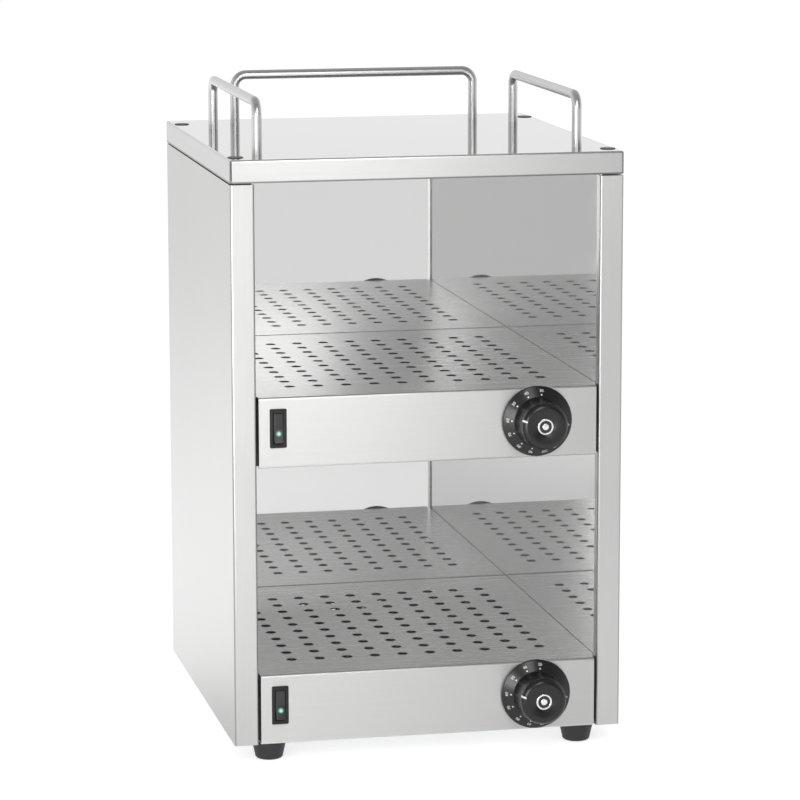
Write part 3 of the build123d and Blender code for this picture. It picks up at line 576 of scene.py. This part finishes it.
share = np.linspace(-1, 1, 25)
hollow = valley_reach + valley_depth * np.sqrt(share**2 + valley_round)
face = np.stack((-hollow, -face_reach * share), -1)
low_arc = swing(np.pi + face_angle, 1.5 * np.pi + back_angle)
high_arc = swing(0.5 * np.pi - back_angle, np.pi - face_angle)
outline = np.concatenate((face, low_arc[1:], back_crown, high_arc[:-1]))
forward = np.roll(outline, -1, 0) - np.roll(outline, 1, 0)
inward = np.stack((-forward[:, 1], forward[:, 0]), -1)
inward /= np.linalg.norm(inward, axis=1, keepdims=True)

# Rows across the width: the outline moved inwards round both edges, and a point at each end
key_half, edge_radius, end_point = 3.8, 0.5, (1.4, 0.0)
bend = np.linspace(0, np.pi / 2, 6)
inset = edge_radius * (1 - np.sin(bend))
insets = np.concatenate(([0.0], inset, inset[::-1], [0.0]))[:, None, None]
station = key_half - edge_radius + edge_radius * np.cos(bend)
stations = np.concatenate(([key_half], station, -station[::-1], [-key_half]))[:, None, None]
rows = outline + inward * insets
rows[0] = rows[-1] = end_point
key_points = np.concatenate((rows, np.broadcast_to(stations, (*rows.shape[:2], 1))), -1)

# The rocker's own directions, leaning by its tilt at rest: depth, height and width
tilt = np.radians(-8.0)
deeper = np.array((0, np.cos(tilt), np.sin(tilt)))
higher = np.array((0, -np.sin(tilt), np.cos(tilt)))
wider = np.array((1, 0, 0))
rocker_seat = np.array((deeper, higher, wider))
pin_profile = np.array([(0, 3.6), (1, 3.6), (1, 5.0), (0, 5.0)])

# The lens stands on the face's lower half and looks out of it
lens_seat = np.array((wider, higher, -deeper))
lens_radius, lens_spot = 2.5, np.array((-2.118, -4.3, 0.0))
lens_profile = [
    (0, 0.5), (0.8, 0.48), (1.5, 0.4), (2.0, 0.29), (2.3, 0.16), (2.45, 0.02),
    (lens_radius, -0.2), (lens_radius, -1.0), (0, -1.0),
]

pivots = {joint["child"]: np.array(joint["pos_m"]) * 1000 for joint in frame["joints"]}
for level in levels:
    body = level + "_rocker"
    pivot = pivots[body]
    blades = [moulding(blade_rings, pivot + (0, 0, rise)) for rise in blade_rises]
    parts = [moulding(housing_rings, pivot)] + blades
    piece = build(level + "_switch_frame", parts, housing_plastic, "cabinet")
    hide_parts(level + "_switch_housing")

    pins = [lathe(pin_profile * (1, side), 24, pivot, to_right) for side in (-1, 1)]
    parts = [shell(pivot + key_points @ rocker_seat)] + pins
    piece = build(level + "_rocker_key", parts, rocker_plastic, body)
    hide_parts(level + "_rocker")

    lens_centre = pivot + lens_spot @ rocker_seat
    dome = lathe(lens_profile, 40, lens_centre, lens_seat)
    piece = build(level + "_lit_lens", [dome], lit_lens, body)
    spots = np.empty(len(piece.data.vertices) * 3)
    piece.data.vertices.foreach_get("co", spots)
    away = (spots.reshape(-1, 3) * 1000 - lens_centre) @ lens_seat.T
    rim_share = piece.data.attributes.new("rim", "FLOAT", "POINT")
    rim_share.data.foreach_set("value", np.hypot(away[:, 0], away[:, 1]) / lens_radius)
    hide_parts(level + "_rocker_lens")


# ---- Thermostat knobs ---------------------------------------------------------------------
# Black satin plastic on the thermostat's shaft: a conical skirt with printed dots and
# numbers, a grip with a crowned rim and a dished face, and a metal badge in the dish.
def curve(*points, count=8):
    """A smooth run through three points: (1 - t)^2 first + 2 t (1 - t) pull + t^2 last, where
    the pull is such that it meets the middle point half way."""
    first, via, last = (np.array(p, float) for p in points)
    t = np.linspace(0, 1, count)[:, None]
    pull = 2 * via - (first + last) / 2
    return (1 - t) ** 2 * first + 2 * t * (1 - t) * pull + t**2 * last


def quarter(centre, across, up, start, end, count):
    """An elliptic arc in a profile: centre + (across * sin t, up * cos t), t in degrees."""
    t = np.radians(np.linspace(start, end, count))
    return np.stack((centre[0] + across * np.sin(t), centre[1] + up * np.cos(t)), -1)


skirt_rise, skirt_inner, skirt_slope = 7.5, 20.8, 0.591


def cone(radius):
    """Height of the skirt's face: skirt_rise by the grip, less skirt_slope per mm outwards."""
    return skirt_rise - skirt_slope * (radius - skirt_inner)


# Radius, and height in front of the fascia. The grip's rim runs from the dish to its foot.
grip = np.concatenate(
    (
        curve((6.9, 29.42), (8.7, 30.05), (11.0, 30.58)),
        curve((11.4, 30.66), (12.7, 30.9), (14.1, 31.0), count=5),
        quarter((14.4, 26.2), 4.55, 4.8, 4, 90, 16),
        curve((19.0, 25.2), (19.45, 17.0), (19.9, 9.3), count=5),
    )
)
knob_profile = np.concatenate(
    (
        [(0.0, 28.2), (6.6, 28.2), (6.6, 29.3), (6.7, 29.4)],
        grip,
        curve((19.95, 9.0), (20.15, 8.05), (20.9, cone(20.9)), count=6),
        [(24.0, cone(24.0)), (28.2, cone(28.2))],
        curve((28.3, cone(28.3)), (28.65, 2.75), (28.75, 2.4), count=4),
        [(28.75, 1.2), (28.55, 1.0), (18.5, 1.0), (18.5, 4.5), (8.0, 4.5), (8.0, 1.0)],
        [(3.06, 1.0), (3.06, 21.0), (0.0, 21.0)],
    )
)
badge_profile = [
    (0, 28.22), (6.3, 28.22), (6.42, 28.4), (6.42, 29.55), (6.3, 29.66), (6.1, 29.7),
    (5.25, 29.7), (5.1, 29.64), (5.0, 29.5), (5.0, 29.1), (2.6, 29.1), (2.6, 29.5),
    (2.48, 29.62), (2.2, 29.68), (0, 29.7),
]
enamel_profile = [
    (2.6, 29.1), (5.0, 29.1), (5.0, 29.4), (4.7, 29.36), (2.9, 29.36), (2.6, 29.4), (2.6, 29.1),
]

# The dial's numbers, by their angle from the top in degrees
marks = {
    98: "0", 6: "30", -23: "40", -53: "50", -86: "60",
    -113: "70", -141: "80", -166: "90", -193: "100", -216.5: "110",
}
dot_ring, number_ring, number_height = 22.2, 25.2, 2.5
print_half, print_lift = 0.02, 0.01  # the ink's half thickness, and its rise off the skirt
dot_profile = [(0, -print_half), (0.65, -print_half), (0.65, print_half), (0, print_half)]

knob_black, enamel_black = (0.006, 0.006, 0.0065), (0.012, 0.012, 0.013)
knob_plastic = moulded("knob_plastic", knob_black, 0.27, 0.2, Specular_IOR_Level=0.45)
enamel = moulded("badge_enamel", enamel_black, 0.2, 0.1)
print_white = moulded("dial_print", (0.72, 0.72, 0.7), 0.5)
badge_metal, shader, wire = finish("badge_metal", Metallic=1.0, Roughness=0.2)
join(
    wire,
    shader,
    Base_Color=wire.blend(wire.noise(700.0), (0.74, 0.74, 0.73, 1.0), (0.86, 0.86, 0.86, 1.0)),
    Roughness=0.16 + 0.12 * wire.noise(1500.0),
)


def lettering(text, height):
    """The outlines of a few digits as a thin solid, centred: points in mm and faces."""
    letters = bpy.data.curves.new("digits", "FONT")
    letters.body, letters.size, letters.extrude = text, height * 1.4, print_half
    letters.align_x, letters.align_y, letters.resolution_u = "CENTER", "CENTER", 3
    carrier = bpy.data.objects.new("digits", letters)
    bpy.context.scene.collection.objects.link(carrier)
    mesh = bpy.data.meshes.new_from_object(carrier)
    points = np.empty(len(mesh.vertices) * 3)
    mesh.vertices.foreach_get("co", points)
    faces = [tuple(polygon.vertices) for polygon in mesh.polygons]
    bpy.data.objects.remove(carrier)
    bpy.data.meshes.remove(mesh)
    return points.reshape(-1, 3), faces


def on_skirt(flat, radius, angle, centre):
    """Flat points (across, outwards, thickness) wrapped on the skirt: outwards runs down the
    cone from a radius, and across goes round it from an angle."""
    reach = radius + flat[..., 1] * np.cos(np.arctan(skirt_slope))
    around = np.radians(angle) + flat[..., 0] / reach
    return turned(reach, cone(reach) + print_lift + flat[..., 2], around, centre, to_front)


# A pointer line across the grip's rim: four runs along the rim, two in it and two just proud
pointer_angle, pointer_half = np.radians(-74), 0.75
pointer_floor, pointer_face = -0.1, 0.03
rim_path = grip[(grip[:, 0] > 15.6) & (grip[:, 1] > 24.0)]
along = np.gradient(rim_path, axis=0)
outwards = np.stack((along[:, 1], -along[:, 0]), -1)
outwards /= np.linalg.norm(outwards, axis=1, keepdims=True)
pointer_width = pointer_half * np.sqrt(1 - np.linspace(-1, 1, len(rim_path)) ** 8)


def pointer_side(side, lift, centre):
    """One run: the rim's path, lifted off it, and turned by side * width / radius."""
    radius, height = (rim_path + outwards * lift).T
    around = pointer_angle + side * pointer_width / radius
    return turned(radius, height, around, centre, to_front)


for level in levels:
    body = level + "_knob"
    centre = pivots[body]
    turned_knob = lathe(knob_profile, 144, centre, to_front)
    piece = build(level + "_turned_knob", [turned_knob], knob_plastic, body, 32.0)
    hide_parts(body)

    disc = lathe(badge_profile, 96, centre, to_front)
    piece = build(level + "_ring_badge", [disc], badge_metal, body)
    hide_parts(level + "_knob_badge")
    ring = lathe(enamel_profile, 96, centre, to_front)
    piece = build(level + "_badge_enamel", [ring], enamel, body)

    # Printed on the skirt: a dot and a number at each mark
    prints = []
    dot, dot_faces = lathe(dot_profile, 20, (0, 0, 0), np.eye(3))
    for mark_angle, number in marks.items():
        prints.append((on_skirt(dot, dot_ring, mark_angle, centre), dot_faces))
        digits, digit_faces = lettering(number, number_height)
        prints.append((on_skirt(digits, number_ring, mark_angle, centre), digit_faces))
    build(level + "_dial_marks", prints, print_white, body, 60.0)

    low_pair = [pointer_side(side, pointer_floor, centre) for side in (-1, 1)]
    high_pair = [pointer_side(side, pointer_face, centre) for side in (1, -1)]
    line = np.stack(low_pair + high_pair, 1)
    ends = [np.broadcast_to(row.mean(0), row.shape)[None] for row in (line[0], line[-1])]
    line = shell(np.concatenate((ends[0], line, ends[1])))
    build(level + "_pointer_line", [line], print_white, body, 60.0)

# ---- Inside the heater boxes --------------------------------------------------------------
# Pale moulded thermostat and terminal blocks, a sheathed heating element, a copper sensor
# with its capillary, and the sleeved loom between the two boxes.
white_plastic = moulded("white_plastic", (0.62, 0.61, 0.57), 0.42)
dress(white_plastic, *at_both("thermostat", "terminal_block"))
sheath, shader, wire = finish("heater_sheath", Metallic=1.0, Roughness=0.5)
heat = wire.noise(35.0, 3.0, 0.6)
join(
    wire,
    shader,
    Base_Color=wire.blend(heat, (0.09, 0.085, 0.08, 1.0), (0.2, 0.16, 0.12, 1.0)),
    Roughness=0.4 + 0.25 * wire.noise(700.0),
)
dress(sheath, *at_both("heating_element"))
copper, shader, wire = finish("copper", Metallic=1.0, Roughness=0.35)
stain = wire.noise(60.0, 3.0)
join(
    wire,
    shader,
    Base_Color=wire.blend(stain, (0.55, 0.26, 0.15, 1.0), (0.72, 0.38, 0.24, 1.0)),
    Roughness=0.25 + 0.2 * wire.noise(500.0),
)
dress(copper, *at_both("sensor_bulb"))
dress(moulded("loom_sleeve", (0.55, 0.53, 0.47), 0.7), "wiring_loom")

# ---- Feet ---------------------------------------------------------------------------------
# Tapered feet of soft black rubber, moulded round studs that pass through the base plate and
# are held by nuts.
rubber = moulded("rubber", (0.014, 0.014, 0.014), 0.5, 0.4)
dress(rubber, "front_left_foot", "front_right_foot", "rear_left_foot", "rear_right_foot")

# ---- Cable inlet --------------------------------------------------------------------------
# A plastic compression gland through the rear panel: a hexagon, a fluted dome nut and a
# rubber seal round the cable's hole, and a nut inside.
half_flats, hexagon_corner = 10.0, 11.25
flutes, flute_depth = 18, 0.4
angle = np.arange(144) * turn / 144
hexagon = half_flats / np.cos((angle % (turn / 6)) - turn / 12)
hexagon = np.minimum(hexagon, hexagon_corner)
flute = flute_depth * (0.5 - 0.5 * np.cos(flutes * angle))

# Radius, height off the panel, share of the hexagon added and share of the flutes taken away
gland_rows = [
    (4.6, -10.0, 0.0, 0.0),
    (8.0, -10.0, 0.0, 0.0),
    (8.0, 0.0, 0.0, 0.0),
    (-0.3, 0.0, 1.0, 0.0),
    (0.0, 0.3, 1.0, 0.0),
    (0.0, 4.1, 1.0, 0.0),
    (-0.45, 4.5, 1.0, 0.0),
    (9.1, 4.5, 0.0, 0.0),
    (9.4, 4.9, 0.0, 0.3),
    (9.4, 5.3, 0.0, 1.0),
    (9.35, 8.2, 0.0, 1.0),
    (9.15, 9.4, 0.0, 0.8),
    (8.75, 10.6, 0.0, 0.3),
    (8.1, 11.8, 0.0, 0.0),
    (7.2, 13.2, 0.0, 0.0),
    (6.8, 13.8, 0.0, 0.0),
    (6.4, 14.0, 0.0, 0.0),
    (5.5, 14.0, 0.0, 0.0),
    (5.2, 13.8, 0.0, 0.0),
    (4.6, 13.0, 0.0, 0.0),
    (4.6, -10.0, 0.0, 0.0),
]
size, height, six_sided, fluted = np.array(gland_rows).T[:, :, None]
gland_radius = size + six_sided * hexagon - fluted * flute
inlets = [m["pos_m"] for m in frame["record"]["mounts"] if m["name"] == "cable_inlet"]
gland_centre = np.array(inlets[0]) * 1000
gland_plastic = moulded("gland_plastic", (0.02, 0.02, 0.021), 0.42)
gland = shell(turned(gland_radius, height, angle, gland_centre, to_rear))
piece = build("fluted_gland", [gland], gland_plastic, "cabinet", 30.0)
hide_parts("cable_gland")
dress(gland_plastic, "gland_nut")
seal_profile = [
    (4.55, 2.0), (4.55, 12.6), (4.5, 12.9), (4.2, 12.9), (4.02, 12.6), (4.02, 2.0), (4.55, 2.0),
]
seal = lathe(seal_profile, 144, gland_centre, to_rear)
piece = build("gland_seal", [seal], rubber, "cabinet", 30.0)

# ---- Floor, surroundings and lamps --------------------------------------------------------
# A plain pale floor under a white surround. The surround and the floor are white to the eye
# and in reflections, and plainer as a source of light.
floor_reach = 9.0
floor_corners = floor_reach * np.array([(-1, -1, 0), (1, -1, 0), (1, 1, 0), (-1, 1, 0)])
floor_mesh = bpy.data.meshes.new("floor")
floor_mesh.from_pydata(floor_corners.tolist(), [], [(0, 1, 2, 3)])
floor = bpy.data.objects.new("floor", floor_mesh)
bpy.context.scene.collection.objects.link(floor)


def ray(wire, *kinds):
    """1 for rays of the named kinds, 0 for the others."""
    rays = [wire.make("LightPath", output=f"Is {kind} Ray") for kind in kinds]
    return wire.math("MINIMUM", sum(rays[1:], rays[0]), 1.0)


# In reflections the floor is a little dimmer before the object and brighter behind it, most
# of all close behind
material, shader, wire = finish("floor", Base_Color=grey(0.6), Roughness=0.9)
back = wire.parts("Object")[1]
near_rear = back.step(-0.1, 0.25) * (1.0 - back.step(0.4, 3.0))
reflected = 0.66 - 0.1 * back.step(-1.6, -0.6) + 0.28 * back.step(-0.2, 0.6) + 0.45 * near_rear
glow = 0.66 * ray(wire, "Camera", "Transmission") + ray(wire, "Glossy") * reflected
join(wire, shader, Emission_Strength=glow)
shader.inputs["Emission Color"].default_value = grey(1.0)
floor.data.materials.append(material)

# In reflections the surround is a studio: white round the back, dimmer overhead, and dim in
# front, most of all to the right
world = bpy.data.worlds.new("surround")
world.use_nodes = True
wire = Wire(world.node_tree)
background = world.node_tree.nodes["Background"]
background.inputs["Color"].default_value = grey(1.0)
right, back, up = wire.parts("Generated")
overhead = up.step(0.1, 0.85)
in_front = (back * -1.0).step(-0.1, 0.75)
studio = (1.12 - 0.6 * overhead) * (1.0 - (0.5 + 0.25 * right.step(-0.4, 0.4)) * in_front)
shine = ray(wire, "Glossy")
strength = (1.0 - shine) * (0.6 + 0.4 * ray(wire, "Camera", "Transmission")) + shine * studio
world.node_tree.links.new(strength.socket, background.inputs["Strength"])
bpy.context.scene.world = world


def lamp(name, place, target, width, height, power):
    """A soft rectangular lamp at a place, turned towards a target."""
    light = bpy.data.lights.new(name, "AREA")
    light.shape, light.size, light.size_y, light.energy = "RECTANGLE", width, height, power
    holder = bpy.data.objects.new(name, light)
    away = np.array(place) - np.array(target)
    away /= np.linalg.norm(away)
    side = np.cross((0, 0, 1), away)
    side /= np.linalg.norm(side)
    turned_to = Matrix(np.stack((side, np.cross(away, side), away), 1).tolist()).to_4x4()
    holder.matrix_world = Matrix.Translation(place) @ turned_to
    holder.visible_camera = False
    bpy.context.scene.collection.objects.link(holder)


lamp("key", (-0.66, -0.95, 0.36), (0.0, -0.1, 0.25), 0.22, 0.5, 3.2)
lamp("strip", (-0.4, -1.0, 0.22), (-0.1, -0.15, 0.22), 0.26, 0.42, 1.9)
lamp("low_bar", (0.0, -1.0, 0.425), (0.0, 0.0, 0.4), 0.8, 0.09, 0.2)
lamp("panel", (0.06, -1.0, 0.93), (0.06, 0.0, 0.8), 0.32, 0.66, 3.6)
bpy.context.scene.view_settings.view_transform = "Standard"
